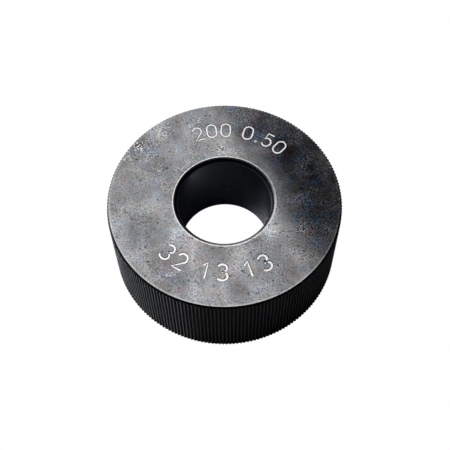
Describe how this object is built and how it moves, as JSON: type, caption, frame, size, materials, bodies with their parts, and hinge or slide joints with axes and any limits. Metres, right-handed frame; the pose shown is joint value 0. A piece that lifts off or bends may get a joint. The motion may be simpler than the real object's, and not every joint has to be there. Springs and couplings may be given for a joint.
{
  "type": "knurling wheel",
  "caption": "Hardened steel knurling wheel with fine straight teeth round the rim and a plain chamfered bore, for rolling a grip pattern into turned work.",
  "frame": {"origin": "centre of the bore, at half the wheel's width", "axes": "+Z along the bore axis, upwards as the wheel lies on one face; +X to the right and -Y towards the viewer; a tooth lies on +X"},
  "size_m": [0.0318, 0.0318, 0.0126],
  "materials": {
    "tool_steel": "hardened tool steel, ground faces with a dark grey-blue oxide, near-black teeth and bore"
  },
  "bodies": {
    "root": {"knurling_wheel": "tool_steel"}
  },
  "joints": []
}
